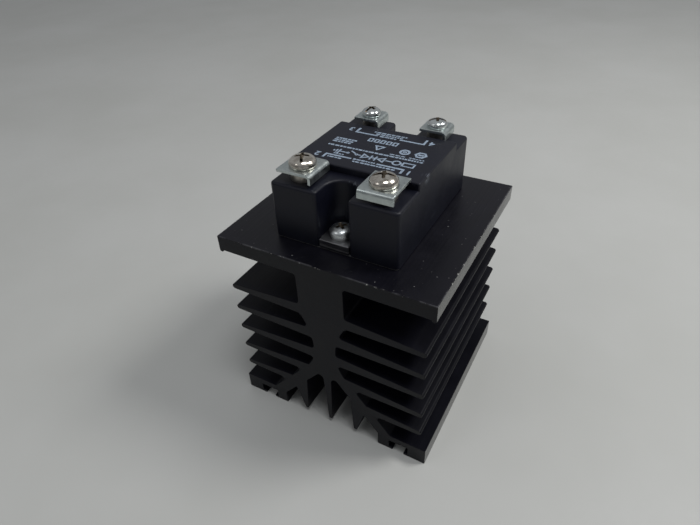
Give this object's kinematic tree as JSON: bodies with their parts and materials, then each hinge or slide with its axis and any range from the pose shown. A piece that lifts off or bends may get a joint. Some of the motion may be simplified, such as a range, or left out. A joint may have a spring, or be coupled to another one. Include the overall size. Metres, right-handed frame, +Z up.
{
  "type": "solid state relay",
  "caption": "Block-shaped solid state relay with screw clamp terminals, bolted on the top plate of a black finned aluminium heat sink.",
  "frame": {"origin": "middle of the footprint, level with the underside of the heat sink's feet", "axes": "+Z up, +X across the fins, Y along the extrusion with load terminals 1 and 2 at -Y"},
  "size_m": [0.08, 0.076, 0.1061],
  "materials": {
    "black_anodised": "satin black anodised",
    "thermal_pad": "matte",
    "base_metal": "dull",
    "case_plastic": "fine moulded grain",
    "alumina": "matte",
    "silicon": "polished",
    "copper": "bare copper",
    "tinned_copper": "tinned",
    "potting_silicone": "soft, clear",
    "board_laminate": "solder mask",
    "component_black": "moulded",
    "resistor_beige": "lacquered",
    "resistor_grey": "coated",
    "capacitor_film": "dipped",
    "tinned_brass": "tinned",
    "zinc_plate": "bright zinc plated",
    "nickel_plate": "nickel plated",
    "spring_steel": "plain"
  },
  "bodies": {
    "relay": {"heat_sink": "black_anodised", "thermal_pad": "thermal_pad", "base_plate": "base_metal", "case": "case_plastic", "ceramic_substrate": "alumina", "thyristor_a": "silicon", "thyristor_b": "silicon", "output_lead_1": "copper", "output_lead_2": "copper", "gate_pins": "tinned_copper", "silicone_fill": "potting_silicone", "circuit_board": "board_laminate", "optocoupler": "component_black", "current_limiter": "component_black", "input_resistor": "resistor_beige", "gate_resistors": "resistor_beige", "snubber_resistor": "resistor_grey", "snubber_capacitor": "capacitor_film", "input_lead_3": "tinned_copper", "input_lead_4": "tinned_copper", "terminal_1": "tinned_brass", "terminal_2": "tinned_brass", "terminal_3": "tinned_brass", "terminal_4": "tinned_brass", "mounting_screw_front": "zinc_plate", "mounting_screw_back": "zinc_plate", "mounting_washer_front": "spring_steel", "mounting_washer_back": "spring_steel"},
    "clamp_1": {"clamp_1": "zinc_plate"},
    "screw_1": {"screw_1": "nickel_plate"},
    "clamp_2": {"clamp_2": "zinc_plate"},
    "screw_2": {"screw_2": "nickel_plate"},
    "clamp_3": {"clamp_3": "zinc_plate"},
    "screw_3": {"screw_3": "zinc_plate"},
    "clamp_4": {"clamp_4": "zinc_plate"},
    "screw_4": {"screw_4": "zinc_plate"}
  },
  "joints": [
    {"name": "clamp_1_lift", "type": "slide", "parent": "relay", "child": "clamp_1", "axis": [0, 0, 1], "range_m": [0, 0.00238]},
    {"name": "screw_1_turn", "type": "hinge", "parent": "clamp_1", "child": "screw_1", "pos_m": [0.0149, -0.0212, 0.1018], "axis": [0, 0, 1], "range_deg": [0, 1080]},
    {"name": "clamp_2_lift", "type": "slide", "parent": "relay", "child": "clamp_2", "axis": [0, 0, 1], "range_m": [0, 0.00238]},
    {"name": "screw_2_turn", "type": "hinge", "parent": "clamp_2", "child": "screw_2", "pos_m": [-0.0133, -0.0212, 0.1018], "axis": [0, 0, 1], "range_deg": [0, 1080]},
    {"name": "clamp_3_lift", "type": "slide", "parent": "relay", "child": "clamp_3", "axis": [0, 0, 1], "range_m": [0, 0.00238]},
    {"name": "screw_3_turn", "type": "hinge", "parent": "clamp_3", "child": "screw_3", "pos_m": [-0.0121, 0.0236, 0.1018], "axis": [0, 0, 1], "range_deg": [0, 1080]},
    {"name": "clamp_4_lift", "type": "slide", "parent": "relay", "child": "clamp_4", "axis": [0, 0, 1], "range_m": [0, 0.00238]},
    {"name": "screw_4_turn", "type": "hinge", "parent": "clamp_4", "child": "screw_4", "pos_m": [0.0137, 0.0236, 0.1018], "axis": [0, 0, 1], "range_deg": [0, 1080]}
  ],
  "couplings": [
    {"joint": "screw_1_turn", "follows": "clamp_1_lift", "rad_per_m": 7915.8},
    {"joint": "screw_2_turn", "follows": "clamp_2_lift", "rad_per_m": 7915.8},
    {"joint": "screw_3_turn", "follows": "clamp_3_lift", "rad_per_m": 7915.8},
    {"joint": "screw_4_turn", "follows": "clamp_4_lift", "rad_per_m": 7915.8}
  ]
}
